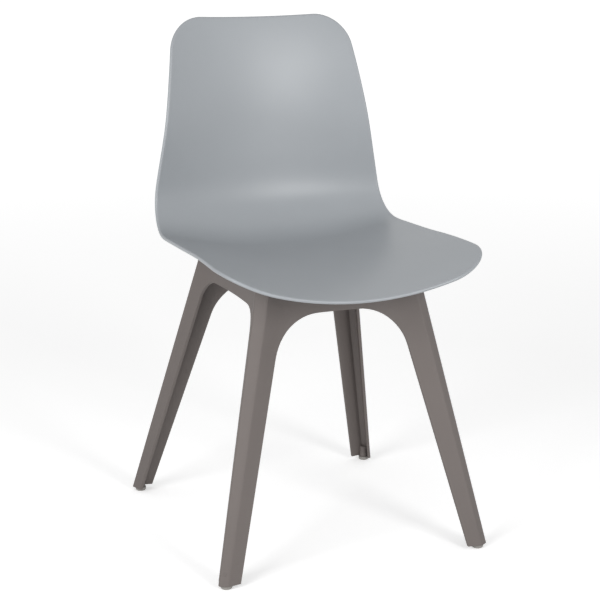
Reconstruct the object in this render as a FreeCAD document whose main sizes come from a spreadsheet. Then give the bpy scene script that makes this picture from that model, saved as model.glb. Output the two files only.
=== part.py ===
import FreeCAD, Part

import math
import os

import Sketcher

# Moulded plastic side chair: a one-piece seat and back shell screwed down on a one-piece leg frame.
# Millimetres, +Z up, -Y is the front, origin on the floor under the middle of the overall box.

V = FreeCAD.Vector

DRIVING_SIZES = [
    # alias, value, what it is
    ("shell_wall", 5.5, "wall of the seat and back shell"),
    ("seat_front_y", -251.2, "front edge of the seat, from the middle"),
    ("seat_surface", 455.0, "height of the seat's lowest line"),
    ("seat_flat_start", -35.1, "where the seat stops falling to the front"),
    ("front_fall_angle", 9.3, "slope of the seat's front edge"),
    ("back_line_y", 191.0, "middle of the back, where it stands upright"),
    ("bend_radius", 91.2, "bend between the seat and the back, on the middle line"),
    ("lumbar_rise", 192.0, "where the back starts to lean, above the seat"),
    ("back_lean_angle", 16.6, "lean of the back at its top edge"),
    ("back_rise", 368.5, "top edge of the back, above the seat"),
    ("top_edge_dip", 2.4, "how far the top edge dips in the middle"),
    ("top_corner_radius", 60.0, "corners of the back, seen from the front"),
    ("front_corner_radius", 75.0, "corners of the seat, seen from above"),
    ("half_width_front", 219.8, "half width of the shell at the seat's front"),
    ("half_width_seat", 210.2, "half width where the seat goes flat"),
    ("half_width_bend", 208.5, "half width where the bend starts"),
    ("half_width_back", 198.0, "half width where the bend ends"),
    ("half_width_lumbar", 179.9, "half width at the lumbar height"),
    ("half_width_top", 151.0, "half width at the top edge"),
    ("dish_front", 49.0, "depth of the dish at the front edge"),
    ("dish_seat", 32.6, "depth of the dish where the seat goes flat"),
    ("dish_bend", 28.6, "depth of the dish where the bend starts"),
    ("dish_back", 34.2, "depth of the hollow where the bend ends"),
    ("dish_lumbar", 38.3, "depth of the hollow at the lumbar height"),
    ("dish_top", 13.4, "depth of the hollow at the top edge"),
    ("frame_wall", 5.0, "wall of the leg frame"),
    ("shell_gap", 0.4, "gap between the leg frame and the shell's underside"),
    ("foot_level", 6.0, "underside of the legs, above the floor"),
    ("apron_drop", 25.0, "apron level, where the leg corners below are given, under the seat"),
    ("leg_front_x", 140.2, "front leg corner at the apron level"),
    ("leg_front_y", 148.1, "front leg corner at the apron level"),
    ("leg_rear_x", 142.0, "rear leg corner at the apron level"),
    ("leg_rear_y", 128.2, "rear leg corner at the apron level"),
    ("foot_front_x", 229.0, "front leg corner at its foot"),
    ("foot_front_y", 221.2, "front leg corner at its foot"),
    ("foot_rear_x", 230.4, "rear leg corner at its foot"),
    ("foot_rear_y", 247.4, "rear leg corner at its foot"),
    ("leg_face_top", 53.0, "width of a leg's front or rear face at the apron level"),
    ("leg_face_foot", 36.2, "width of a leg's front or rear face at its foot"),
    ("leg_side_top", 35.0, "depth of a leg's side at the apron level"),
    ("leg_side_foot", 25.0, "depth of a leg's side at its foot"),
    ("apron_set_back", 11.0, "front and rear apron behind the leg corners"),
    ("side_set_back", 14.0, "side aprons behind the leg corners"),
    ("leg_crease_x", 18.0, "crease of the leg, inward from its corner at the apron level"),
    ("leg_crease_out", 8.5, "how far the crease stands out in front of the corner there"),
    ("foot_crease_x", 13.0, "crease of the leg, inward from its corner at the foot"),
    ("foot_crease_out", 4.0, "how far the crease stands out in front of the corner there"),
    ("apron_bow", 6.0, "how far the aprons curve in between the legs"),
    ("knuckle_in", 1.0, "rounded-off corner of the leg, inward from the true corner"),
    ("knuckle_back", 3.0, "rounded-off corner, back from the true corner at the apron level"),
    ("knuckle_back_foot", 4.0, "rounded-off corner, back from the true corner at the foot"),
    ("foot_set_back", 1.0, "front and rear faces behind the leg corners at the foot"),
    ("side_foot_set_back", 11.0, "side faces behind the leg corners at the foot"),
    ("leg_spare", 5.0, "length of the leg walls that the arches cut away"),
    ("leg_edge_flat", 2.2, "flat along the crease and the knuckle of each leg"),
    ("front_arch_drop", 60.8, "crown of the front and rear arches, under the seat"),
    ("front_arch_radius", 80.0, "shoulders of the front and rear arches"),
    ("side_arch_drop", 51.0, "crown of the side arches, under the seat"),
    ("side_arch_radius", 46.0, "shoulders of the side arches"),
    ("foot_boss_diameter", 15.0, "boss in each foot that holds the glide's stem"),
    ("foot_boss_height", 20.0, "boss in each foot that holds the glide's stem"),
    ("deck_drop", 19.0, "top of the frame's deck, where the shell's bosses stand, under the seat"),
    ("deck_wall", 5.0, "thickness of the deck"),
    ("deck_opening_x", 124.0, "width of the opening in the deck"),
    ("deck_opening_y", 116.0, "depth of the opening in the deck"),
    ("deck_opening_radius", 24.0, "corners of the opening in the deck"),
    ("deck_lip", 14.0, "depth of the lip and ribs under the deck"),
    ("rib_place", 34.0, "ribs under the deck, from the middle"),
    ("rib_wall", 3.5, "wall of the lip and ribs"),
    ("screw_x", 92.0, "screws, from the middle"),
    ("screw_front_y", -95.0, "front screws, from the middle"),
    ("screw_rear_y", 83.0, "rear screws, from the middle"),
    ("screw_diameter", 6.0, "screw shank"),
    ("screw_clearance", 0.5, "play round the screw in the deck and the washer"),
    ("screw_length", 18.0, "screw shank below the head"),
    ("screw_head_diameter", 13.0, "pan head"),
    ("screw_head_height", 4.0, "pan head"),
    ("screw_head_bevel", 1.6, "bevel round the pan head"),
    ("drive_width", 4.0, "hexagon socket in the head, across its flats"),
    ("drive_depth", 2.4, "hexagon socket in the head"),
    ("washer_diameter", 18.0, "washer"),
    ("washer_thickness", 1.6, "washer"),
    ("boss_diameter", 24.0, "bosses under the shell"),
    ("insert_diameter", 9.0, "threaded insert"),
    ("insert_length", 11.0, "threaded insert"),
    ("insert_flange", 12.0, "flange of the threaded insert"),
    ("insert_flange_height", 1.2, "flange of the threaded insert"),
    ("insert_bore_depth", 12.5, "hole for the insert in the boss"),
    ("fit_gap", 0.05, "gap of a pressed or threaded fit"),
    ("glide_diameter", 18.0, "foot glide"),
    ("glide_stem_diameter", 8.0, "stem of the foot glide"),
    ("glide_stem_length", 16.0, "stem of the foot glide"),
    ("glide_bevel", 1.5, "bevel of the glide's edge"),
    ("glide_inset_x", 15.5, "glide from the foot's corner"),
    ("glide_inset_y", 8.0, "glide from the foot's corner"),
    ("tip_bevel", 1.0, "bevel at the tips of the screws and the glide stems"),
    ("overlap", 1.0, "how far a cut or a rib runs past the face that it meets"),
    ("edge_overrun", 14.0, "how far the shell's loft runs past the edges that trim it"),
    ("trim_margin", 80.0, "how far the trims and cuts reach beyond the part"),
]

ALIASES = [alias for alias, value, note in DRIVING_SIZES]

doc = FreeCAD.newDocument("shell_chair")


def makeSheet():
    sheet = doc.addObject("Spreadsheet::Sheet", "sizes")
    for row, (alias, value, note) in enumerate(DRIVING_SIZES, start=1):
        sheet.set(f"A{row}", alias)
        sheet.set(f"B{row}", str(value))
        sheet.set(f"C{row}", note)
        sheet.setAlias(f"B{row}", alias)
    doc.recompute()
    return sheet


sheet = makeSheet()


def size(alias):
    return float(sheet.get(alias))


def level(name):
    """Height above the floor of a place that is given from the seat's surface."""
    if name + "_rise" in ALIASES:
        return size("seat_surface") + size(name + "_rise")
    return size("seat_surface") - size(name + "_drop")


# Helpers for bodies and sketches

def makeBody(label):
    body = doc.addObject("PartDesign::Body", label)
    body.Label = label
    return body


def originPlane(body, role):
    return [item for item in body.Origin.OriginFeatures if item.Role == role][0]


def makeSketch(body, name, role, offset=FreeCAD.Placement()):
    sketch = body.newObject("Sketcher::SketchObject", name)
    sketch.AttachmentSupport = [(originPlane(body, role), "")]
    sketch.MapMode = "FlatFace"
    sketch.AttachmentOffset = offset
    return sketch


def atHeight(height):
    return FreeCAD.Placement(V(0, 0, height), FreeCAD.Rotation())


def addEdges(sketch, edges):
    """Adds edges that follow each other round a closed outline, each joined to the next."""
    first = sketch.GeometryCount
    for edge in edges:
        sketch.addGeometry(edge, False)
    count = len(edges)
    for index in range(count):
        here = first + index
        following = first + (index + 1) % count
        pairs = [(a, b) for a in (1, 2) for b in (1, 2)]
        gaps = [sketch.getPoint(here, a).distanceToPoint(sketch.getPoint(following, b)) for a, b in pairs]
        a, b = pairs[gaps.index(min(gaps))]
        sketch.addConstraint(Sketcher.Constraint("Coincident", here, a, following, b))


def polyline(points):
    pairs = zip(points, points[1:] + points[:1])
    return [Part.LineSegment(V(a[0], a[1], 0), V(b[0], b[1], 0)) for a, b in pairs]


def addCircle(sketch, x, y, radius, radiusExpression, name):
    """Adds a circle whose radius is bound to the sheet."""
    index = sketch.addGeometry(Part.Circle(V(x, y, 0), V(0, 0, 1), radius), False)
    row = sketch.addConstraint(Sketcher.Constraint("Radius", index, radius))
    sketch.renameConstraint(row, name)
    sketch.setExpression("Constraints." + name, radiusExpression)
    return index


def pad(body, name, sketch, length, reversed_=False):
    feature = body.newObject("PartDesign::Pad", name)
    feature.Profile = sketch
    feature.setExpression("Length", length)
    feature.Reversed = reversed_
    return feature


def pocket(body, name, sketch, length, both=False, reversed_=False):
    feature = body.newObject("PartDesign::Pocket", name)
    feature.Profile = sketch
    feature.setExpression("Length", length)
    feature.Reversed = reversed_
    if both:
        feature.SideType = "Symmetric"
    return feature


def loft(body, name, kind, sketches, ruled):
    feature = body.newObject(kind, name)
    feature.Profile = sketches[0]
    feature.Sections = sketches[1:]
    feature.Ruled = ruled
    return feature


def roundedRectangle(halfX, halfY, radius):
    """Four straight sides joined by quarter arcs, centred on the sketch's origin."""
    edges = []
    corners = [(1, -1), (1, 1), (-1, 1), (-1, -1)]
    ends = []
    for step, (sideX, sideY) in enumerate(corners):
        centre = V(sideX * (halfX - radius), sideY * (halfY - radius), 0)
        start = math.radians(-90 + 90 * step)
        points = [centre + V(math.cos(start + turn), math.sin(start + turn), 0) * radius
                  for turn in (0, math.pi / 4, math.pi / 2)]
        ends.append(points)
    for index, points in enumerate(ends):
        edges.append(Part.Arc(*points))
        edges.append(Part.LineSegment(points[2], ends[(index + 1) % 4][0]))
    return edges


# The shell's middle line, from the front edge over the seat and up the back

def middleLine(travel):
    """Point and heading of the middle line at a distance travelled from the front edge.

    It is a falling arc at the front, a flat seat, the bend, an upright stretch and a leaning arc.
    """
    fall = math.radians(size("front_fall_angle"))
    lean = math.radians(size("back_lean_angle"))
    frontRadius = (size("seat_flat_start") - size("seat_front_y")) / math.sin(fall)
    bend = size("bend_radius")
    bendStart = size("back_line_y") - bend
    leanRadius = (level("back") - level("lumbar")) / math.sin(lean)
    lengths = [frontRadius * fall, bendStart - size("seat_flat_start"), bend * math.pi / 2,
               level("lumbar") - size("seat_surface") - bend]
    if travel < lengths[0]:
        turn = (lengths[0] - travel) / frontRadius
        return (size("seat_flat_start") - frontRadius * math.sin(turn),
                size("seat_surface") - frontRadius * (1 - math.cos(turn)), turn)
    travel -= lengths[0]
    if travel < lengths[1]:
        return size("seat_flat_start") + travel, size("seat_surface"), 0.0
    travel -= lengths[1]
    if travel < lengths[2]:
        turn = travel / bend
        return (bendStart + bend * math.sin(turn),
                size("seat_surface") + bend * (1 - math.cos(turn)), turn)
    travel -= lengths[2]
    if travel < lengths[3]:
        return size("back_line_y"), size("seat_surface") + bend + travel, math.pi / 2
    turn = (travel - lengths[3]) / leanRadius
    return (size("back_line_y") + leanRadius * (1 - math.cos(turn)),
            level("lumbar") + leanRadius * math.sin(turn), math.pi / 2 - turn)


def landmarks():
    """Distances along the middle line of the places where the widths and dishes are given."""
    fall = math.radians(size("front_fall_angle"))
    lean = math.radians(size("back_lean_angle"))
    bendStart = size("back_line_y") - size("bend_radius")
    marks = [0.0]
    marks.append((size("seat_flat_start") - size("seat_front_y")) / math.sin(fall) * fall)
    marks.append(marks[-1] + bendStart - size("seat_flat_start"))
    marks.append(marks[-1] + size("bend_radius") * math.pi / 2)
    marks.append(marks[-1] + level("lumbar") - size("seat_surface") - size("bend_radius"))
    marks.append(marks[-1] + (level("back") - level("lumbar")) / math.sin(lean) * lean)
    return marks


PLACES = ["front", "seat", "bend", "back", "lumbar", "top"]


def between(travel, prefix):
    """Value at a distance along the middle line, straight between the landmarks."""
    marks = landmarks()
    values = [size(prefix + "_" + place) for place in PLACES]
    span = 0
    while span < len(marks) - 2 and travel > marks[span + 1]:
        span += 1
    share = (travel - marks[span]) / (marks[span + 1] - marks[span])
    return values[span] + share * (values[span + 1] - values[span])


def sectionPlacement(travel):
    """Sketch plane square to the middle line, on the body's XZ plane (its normal is -Y)."""
    y, z, heading = middleLine(travel)
    turned = FreeCAD.Rotation(V(1, 0, 0), math.degrees(heading))
    return FreeCAD.Placement(V(0, z, -y), turned)


def addSection(sketch, travel, inward, outward, extra):
    """Closed band between two arcs about one centre, the hollow side being at the sitter.

    inward and outward are the distances of the two arcs from the shell's surface, and extra
    is how far the band runs past the shell's half width.
    """
    halfWidth = between(travel, "half_width")
    dish = between(travel, "dish")
    radius = (halfWidth ** 2 + dish ** 2) / (2 * dish)
    reach = math.asin(halfWidth / radius) + extra / radius
    centre = V(0, radius, 0)

    def at(distance, angle):
        return centre + V(math.sin(angle), -math.cos(angle), 0) * distance

    inner = radius - inward
    outer = radius + outward
    edges = [Part.Arc(at(inner, -reach), at(inner, 0), at(inner, reach)),
             Part.LineSegment(at(inner, reach), at(outer, reach)),
             Part.Arc(at(outer, reach), at(outer, 0), at(outer, -reach)),
             Part.LineSegment(at(outer, -reach), at(inner, -reach))]
    for edge in edges:
        sketch.addGeometry(edge, False)


def evenStations(start, end, count):
    """Distances along the middle line, evenly apart so that the loft between them stays smooth."""
    return [start + (end - start) * step / (count - 1) for step in range(count)]


def loftedBand(body, name, kind, stations, inward, outward, extra):
    sketches = []
    for index, travel in enumerate(stations):
        sketch = makeSketch(body, f"{name}_section_{index + 1}", "XZ_Plane", sectionPlacement(travel))
        addSection(sketch, travel, inward, outward, extra)
        sketches.append(sketch)
    return loft(body, name, kind, sketches, False)


# Seat and back shell

def seatSurfaceAt(x, y):
    """Height of the sitting surface over a point of the seat's flat part or front fall."""
    travel = 0.0
    marks = landmarks()
    step = (marks[2] - marks[0]) / 400
    while travel < marks[2] and middleLine(travel)[0] < y:
        travel += step
    halfWidth = between(travel, "half_width")
    dish = between(travel, "dish")
    radius = (halfWidth ** 2 + dish ** 2) / (2 * dish)
    return middleLine(travel)[1] + radius - math.sqrt(radius ** 2 - x ** 2)


SHELL_SECTIONS = 20


def shellStations():
    overrun = size("edge_overrun")
    return evenStations(-overrun, landmarks()[-1] + overrun, SHELL_SECTIONS)


PLACE_NAMES = ["front_right", "front_left", "rear_right", "rear_left"]


def screwPlaces():
    """Screws by name; the sitter's right is at -X."""
    spots = [(side * size("screw_x"), size(alias))
             for alias in ("screw_front_y", "screw_rear_y") for side in (-1, 1)]
    return list(zip(PLACE_NAMES, spots))


def cornerArc(rimAt, rimSlope, edge, radius, onward):
    """Rounded corner that runs out over the rim at a slight angle, on the +X side.

    rimAt gives the shell's half width at a place, rimSlope how fast it narrows, edge is the
    place of the straight edge and onward (1 or -1) the way from it back along the rim.
    Returns the arc's three points and the end of the short line that leaves the shell.
    """
    inside = 0.3
    leaving = 0.05
    angle = math.atan(onward * rimSlope + leaving)
    centreY = edge + onward * radius
    endY = centreY - onward * radius * math.sin(angle)
    endX = rimAt(endY) - inside
    centreX = endX - radius * math.cos(angle)
    half = (math.pi / 2 + angle) / 2
    middle = V(centreX + radius * math.cos(half), centreY - onward * radius * math.sin(half), 0)
    run = radius * 2
    return [V(centreX, edge, 0), middle, V(endX, endY, 0),
            V(endX + run * math.sin(angle), endY + onward * run * math.cos(angle), 0)]


def mirroredPoints(points):
    return [V(-point.x, point.y, 0) for point in points]


def outlineBeyond(sketch, right, edge, margin, middle):
    """Closed outline of what is cut away beyond an edge and its two rounded corners."""
    left = mirroredPoints(right)
    beyond = size("half_width_front") + size("trim_margin")
    far = edge + margin
    across = [Part.LineSegment(left[0], right[0])]
    if middle is not None:
        across = [Part.Arc(left[0], middle, right[0])]
    addEdges(sketch, across + [
        Part.Arc(right[0], right[1], right[2]),
        Part.LineSegment(right[2], right[3]),
        Part.LineSegment(right[3], V(beyond, right[3].y, 0)),
        Part.LineSegment(V(beyond, right[3].y, 0), V(beyond, far, 0)),
        Part.LineSegment(V(beyond, far, 0), V(-beyond, far, 0)),
        Part.LineSegment(V(-beyond, far, 0), V(-beyond, left[3].y, 0)),
        Part.LineSegment(V(-beyond, left[3].y, 0), left[3]),
        Part.LineSegment(left[3], left[2]),
        Part.Arc(left[2], left[1], left[0]),
    ])


def frontOutline(sketch):
    """Plan outline of the seat's front: a straight edge between two round corners."""
    front = size("seat_front_y")
    slope = (size("half_width_seat") - size("half_width_front")) / (size("seat_flat_start") - front)
    right = cornerArc(lambda y: size("half_width_front") + slope * (y - front), slope,
                      front, size("front_corner_radius"), 1)
    outlineBeyond(sketch, right, front, -size("trim_margin"), None)


def topOutline(sketch):
    """Front outline of the back's top: two round corners and the slightly dipped edge."""
    top = level("back")
    slope = (size("half_width_top") - size("half_width_lumbar")) / (top - level("lumbar"))
    right = cornerArc(lambda z: size("half_width_top") + slope * (z - top), slope,
                      top, size("top_corner_radius"), -1)
    outlineBeyond(sketch, right, top, size("trim_margin"), V(0, top - size("top_edge_dip"), 0))


def makeShell():
    body = makeBody("seat_shell")
    loftedBand(body, "shell_band", "PartDesign::AdditiveLoft", shellStations(), 0.0, size("shell_wall"), 0.0)
    plan = makeSketch(body, "front_outline", "XY_Plane")
    frontOutline(plan)
    pocket(body, "front_trim", plan, "sizes.seat_surface * 4", both=True)
    face = makeSketch(body, "top_outline", "XZ_Plane")
    topOutline(face)
    pocket(body, "top_trim", face, "sizes.seat_surface * 4", both=True)
    addBosses(body)
    return body


def addBosses(body):
    """Round bosses that stand on the frame's deck, bored for the threaded inserts."""
    deck = level("deck")
    for place, (x, y) in screwPlaces():
        sketch = makeSketch(body, f"boss_{place}_circle", "XY_Plane", atHeight(deck))
        addCircle(sketch, x, y, size("boss_diameter") / 2, "sizes.boss_diameter / 2", "radius")
        feature = body.newObject("PartDesign::Pad", f"boss_{place}")
        feature.Profile = sketch
        feature.Length = seatSurfaceAt(x, y) - size("shell_wall") / 2 - deck
    gap = size("fit_gap")
    drill(body, "insert_bores", screwPlaces(), deck, size("insert_diameter") / 2 + gap,
          "sizes.insert_diameter / 2 + sizes.fit_gap", "sizes.insert_bore_depth", True)
    drill(body, "flange_seats", screwPlaces(), deck, size("insert_flange") / 2 + gap,
          "sizes.insert_flange / 2 + sizes.fit_gap", "sizes.insert_flange_height", True)


# Leg frame

def legCorner(height, end):
    """Corner of a leg at a height, as distances from the middle; end is front or rear."""
    share = (height - size("foot_level")) / (level("apron") - size("foot_level"))
    foot = (size(f"foot_{end}_x"), size(f"foot_{end}_y"))
    apron = (size(f"leg_{end}_x"), size(f"leg_{end}_y"))
    return [foot[axis] + share * (apron[axis] - foot[axis]) for axis in (0, 1)]


def fading(height, apronValue, footValue):
    share = (height - size("foot_level")) / (level("apron") - size("foot_level"))
    return footValue + share * (apronValue - footValue)


def legSection(height, end):
    """The V of a leg: front wall end, crease, knuckle and side wall end, inward from its corner."""
    spare = size("leg_spare")
    return [(fading(height, size("leg_face_top"), size("leg_face_foot")) + spare,
             fading(height, size("apron_set_back"), size("foot_set_back"))),
            (fading(height, size("leg_crease_x"), size("foot_crease_x")),
             -fading(height, size("leg_crease_out"), size("foot_crease_out"))),
            (size("knuckle_in"), fading(height, size("knuckle_back"), size("knuckle_back_foot"))),
            (fading(height, size("side_set_back"), size("side_foot_set_back")),
             fading(height, size("leg_side_top"), size("leg_side_foot")) + spare)]


def frameCorners(height):
    """The outline's sixteen corners, anticlockwise from above, starting at the front left leg."""
    points = []
    for sideX, sideY in ((1, -1), (1, 1), (-1, 1), (-1, -1)):
        end = "front" if sideY < 0 else "rear"
        corner = legCorner(height, end)
        leg = [(sideX * (corner[0] - inX), sideY * (corner[1] - inY))
               for inX, inY in legSection(height, end)]
        points += leg if sideX * sideY < 0 else leg[::-1]
    return points


def insetCorners(points, inset):
    """Corners of the same outline drawn a wall further in."""
    moved = []
    count = len(points)
    for index in range(count):
        before = V(*points[index - 1], 0)
        here = V(*points[index], 0)
        after = V(*points[(index + 1) % count], 0)
        first = (here - before).normalize()
        second = (after - here).normalize()
        normalA = V(-first.y, first.x, 0)
        normalB = V(-second.y, second.x, 0)
        both = normalA + normalB
        spot = here + both * (inset * 2 / (both.Length ** 2))
        moved.append((spot.x, spot.y))
    return moved


def cutCorner(before, here, after, width):
    """Two ends of the narrow flat that takes one corner off an outline."""
    back = (before - here).normalize()
    onward = (after - here).normalize()
    reach = width / 2 / math.sin(back.getAngle(onward) / 2)
    return here + back * reach, here + onward * reach


def addFrameOutline(sketch, height, inset):
    """Straight leg walls joined by the four aprons, which bow in towards the middle.

    The crease and the knuckle of each leg have a narrow flat outside and are sharp inside.
    """
    points = frameCorners(height)
    if inset:
        points = insetCorners(points, inset)
    points = [V(*point, 0) for point in points]
    ends = [(point, point) for point in points]
    if not inset:
        for index in range(16):
            if index % 4 in (1, 2):
                ends[index] = cutCorner(points[index - 1], points[index], points[(index + 1) % 16],
                                        size("leg_edge_flat"))
    bow = size("apron_bow")
    for index, (start, end) in enumerate(ends):
        if start != end:
            sketch.addGeometry(Part.LineSegment(start, end), False)
        following = ends[(index + 1) % 16][0]
        if index % 4 < 3:
            sketch.addGeometry(Part.LineSegment(end, following), False)
            continue
        along = (following - end).normalize()
        middle = (end + following) * 0.5 + V(-along.y, along.x, 0) * bow
        sketch.addGeometry(Part.Arc(end, middle, following), False)


def frameLoft(body, name, kind, bottom, top, inset):
    sketches = []
    for place, height in (("bottom", bottom), ("top", top)):
        sketch = makeSketch(body, f"{name}_{place}", "XY_Plane", atHeight(height))
        addFrameOutline(sketch, height, inset)
        sketches.append(sketch)
    return loft(body, name, kind, sketches, True)


def archOutline(sketch, feet, tops, crown, radius):
    """Opening between two legs: leaning sides, rounded shoulders and a level crown.

    feet and tops are the places of the two sides at the foot level and the apron level.
    """
    low = size("foot_level")
    floor = -size("foot_level")
    high = level("apron")
    corners = []
    for sign, foot, top in zip((-1, 1), feet, tops):
        slope = (top - foot) / (high - low)
        centreZ = crown - radius
        lean = math.sqrt(1 + slope ** 2)
        centreX = foot + slope * (centreZ - low) - sign * radius * lean
        tangent = (centreX + sign * radius / lean, centreZ - sign * slope * radius / lean)
        half = math.atan2(tangent[1] - centreZ, sign * (tangent[0] - centreX))
        middle = (half + math.pi / 2) / 2
        bend = (centreX + sign * radius * math.cos(middle), centreZ + radius * math.sin(middle))
        bottom = (foot + slope * (floor - low), floor)
        corners.append([bottom, tangent, bend, (centreX, crown)])
    left, right = [[V(x, z, 0) for x, z in side] for side in corners]
    addEdges(sketch, [
        Part.LineSegment(right[0], right[1]),
        Part.Arc(right[1], right[2], right[3]),
        Part.LineSegment(right[3], left[3]),
        Part.Arc(left[3], left[2], left[1]),
        Part.LineSegment(left[1], left[0]),
        Part.LineSegment(left[0], right[0]),
    ])


def cutArches(body):
    footX = size("foot_front_x") - size("leg_face_foot")
    topX = size("leg_front_x") - size("leg_face_top")
    front = makeSketch(body, "front_arch", "XZ_Plane")
    archOutline(front, (-footX, footX), (-topX, topX),
                level("front_arch"), size("front_arch_radius"))
    pocket(body, "front_and_rear_arches", front, "sizes.seat_surface * 4", both=True)
    feet = (-size("foot_front_y") + size("leg_side_foot"), size("foot_rear_y") - size("leg_side_foot"))
    tops = (-size("leg_front_y") + size("leg_side_top"), size("leg_rear_y") - size("leg_side_top"))
    side = makeSketch(body, "side_arch", "YZ_Plane")
    archOutline(side, feet, tops, level("side_arch"), size("side_arch_radius"))
    pocket(body, "side_arches", side, "sizes.seat_surface * 4", both=True)


def wallMiddle(height, across, side):
    """Middle of the apron wall at a height, straight out from a point beside the middle line."""
    points = frameCorners(height)
    index = {"front": 15, "left": 3, "rear": 7}[side]
    start = points[index]
    end = points[(index + 1) % 16]
    axis = 1 if side == "left" else 0
    half = abs(end[axis] - start[axis]) / 2
    centre = (end[axis] + start[axis]) / 2
    straight = (start[1 - axis] + end[1 - axis]) / 2
    inwards = -1 if straight > 0 else 1
    bowed = size("apron_bow") * (1 - ((across - centre) / half) ** 2)
    return straight + inwards * (bowed + size("frame_wall") / 2)


def addDeckRibs(body):
    """Lip round the deck's opening and eight ribs that tie it to the aprons."""
    top = level("deck") - size("deck_wall")
    middle = top - size("deck_lip") / 2
    wall = size("rib_wall")
    halfX = size("deck_opening_x") / 2
    halfY = size("deck_opening_y") / 2
    radius = size("deck_opening_radius")
    lip = makeSketch(body, "deck_lip_outline", "XY_Plane", atHeight(top))
    addEdges(lip, roundedRectangle(halfX + wall, halfY + wall, radius + wall))
    addEdges(lip, roundedRectangle(halfX, halfY, radius))
    pad(body, "deck_lip_ring", lip, "sizes.deck_lip", reversed_=True)
    ribs = makeSketch(body, "rib_outlines", "XY_Plane", atHeight(top))
    nearX = halfX + size("overlap")
    nearY = halfY + size("overlap")
    for place in (-size("rib_place"), size("rib_place")):
        low = place - wall / 2
        high = place + wall / 2
        front = wallMiddle(middle, place, "front")
        rear = wallMiddle(middle, place, "rear")
        outside = wallMiddle(middle, place, "left")
        spans = [(low, high, front, -nearY), (low, high, nearY, rear),
                 (nearX, outside, low, high), (-outside, -nearX, low, high)]
        for left, right, nearer, further in spans:
            addEdges(ribs, polyline([(left, nearer), (right, nearer), (right, further), (left, further)]))
    pad(body, "deck_ribs", ribs, "sizes.deck_lip", reversed_=True)


def glidePlaces():
    spots = []
    for end, sideY in (("front", -1), ("rear", 1)):
        for sideX in (-1, 1):
            spots.append((sideX * (size(f"foot_{end}_x") - size("glide_inset_x")),
                          sideY * (size(f"foot_{end}_y") - size("glide_inset_y"))))
    return list(zip(PLACE_NAMES, spots))


def drill(body, name, spots, height, radius, radiusExpression, depth, upwards):
    """Round holes with their mouths at one height."""
    sketch = makeSketch(body, name + "_circles", "XY_Plane", atHeight(height))
    for index, (place, spot) in enumerate(spots):
        addCircle(sketch, spot[0], spot[1], radius, radiusExpression, f"radius_{index + 1}")
    return pocket(body, name, sketch, depth, reversed_=upwards)


def addFootBosses(body):
    """Round bosses in the corners of the feet, which hold the glides' stems."""
    sketch = makeSketch(body, "foot_boss_circles", "XY_Plane", atHeight(size("foot_level")))
    for index, (place, (x, y)) in enumerate(glidePlaces()):
        addCircle(sketch, x, y, size("foot_boss_diameter") / 2, "sizes.foot_boss_diameter / 2",
                  f"radius_{index + 1}")
    pad(body, "foot_bosses", sketch, "sizes.foot_boss_height")


def makeFrame():
    body = makeBody("leg_frame")
    deck = level("deck")
    overlap = size("overlap")
    above = size("seat_surface") + size("dish_bend")
    wall = size("frame_wall")
    frameLoft(body, "frame_blank", "PartDesign::AdditiveLoft", size("foot_level"), above, 0)
    frameLoft(body, "leg_hollow", "PartDesign::SubtractiveLoft", size("foot_level") - overlap,
              deck - size("deck_wall"), wall)
    frameLoft(body, "seat_hollow", "PartDesign::SubtractiveLoft", deck, above + overlap, wall)
    opening = makeSketch(body, "deck_opening_outline", "XY_Plane", atHeight(deck))
    addEdges(opening, roundedRectangle(size("deck_opening_x") / 2, size("deck_opening_y") / 2,
                                       size("deck_opening_radius")))
    pocket(body, "deck_opening", opening, "sizes.deck_wall")
    addDeckRibs(body)
    cutArches(body)
    addFootBosses(body)
    drill(body, "screw_holes", screwPlaces(), deck, (size("screw_diameter") + size("screw_clearance")) / 2,
          "(sizes.screw_diameter + sizes.screw_clearance) / 2", "sizes.deck_wall", False)
    drill(body, "glide_sockets", glidePlaces(), size("foot_level"),
          size("glide_stem_diameter") / 2 + size("fit_gap"),
          "sizes.glide_stem_diameter / 2 + sizes.fit_gap", "sizes.glide_stem_length + sizes.overlap", True)
    underSeat = [travel for travel in shellStations()[1:] if travel < landmarks()[3]]
    loftedBand(body, "under_seat_space", "PartDesign::SubtractiveLoft", underSeat,
               size("trim_margin"), size("shell_wall") + size("shell_gap"), size("edge_overrun"))
    doc.recompute()
    return body


# Turned small parts

def turned(body, name, edges):
    """Revolves a closed half profile, drawn as radius and height, about the vertical axis."""
    sketch = makeSketch(body, name + "_profile", "XZ_Plane")
    addEdges(sketch, edges)
    feature = body.newObject("PartDesign::Revolution", name)
    feature.Profile = sketch
    feature.ReferenceAxis = (sketch, ["V_Axis"])
    feature.Angle = 360
    return feature


def makeGlide(label, x, y):
    """Mushroom glide: a bevelled disc on the floor and a stem pressed into the foot."""
    body = makeBody(label)
    body.Placement = FreeCAD.Placement(V(x, y, 0), FreeCAD.Rotation())
    radius = size("glide_diameter") / 2
    height = size("foot_level")
    stem = size("glide_stem_diameter") / 2
    top = height + size("glide_stem_length")
    bevel = size("glide_bevel")
    tip = size("tip_bevel")
    turned(body, label + "_turning", polyline([
        (0, 0), (radius - bevel, 0), (radius, bevel), (radius, height),
        (stem, height), (stem, top - tip), (stem - tip, top), (0, top)]))
    return body


def makeInsert(label, x, y):
    """Flanged threaded insert; its thread is drawn as a plain bore."""
    body = makeBody(label)
    body.Placement = FreeCAD.Placement(V(x, y, level("deck")), FreeCAD.Rotation())
    bore = size("screw_diameter") / 2 + size("fit_gap")
    radius = size("insert_diameter") / 2
    flange = size("insert_flange") / 2
    step = size("insert_flange_height")
    top = size("insert_length")
    turned(body, label + "_turning", polyline([
        (bore, 0), (flange, 0), (flange, step), (radius, step), (radius, top), (bore, top)]))
    return body


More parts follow.
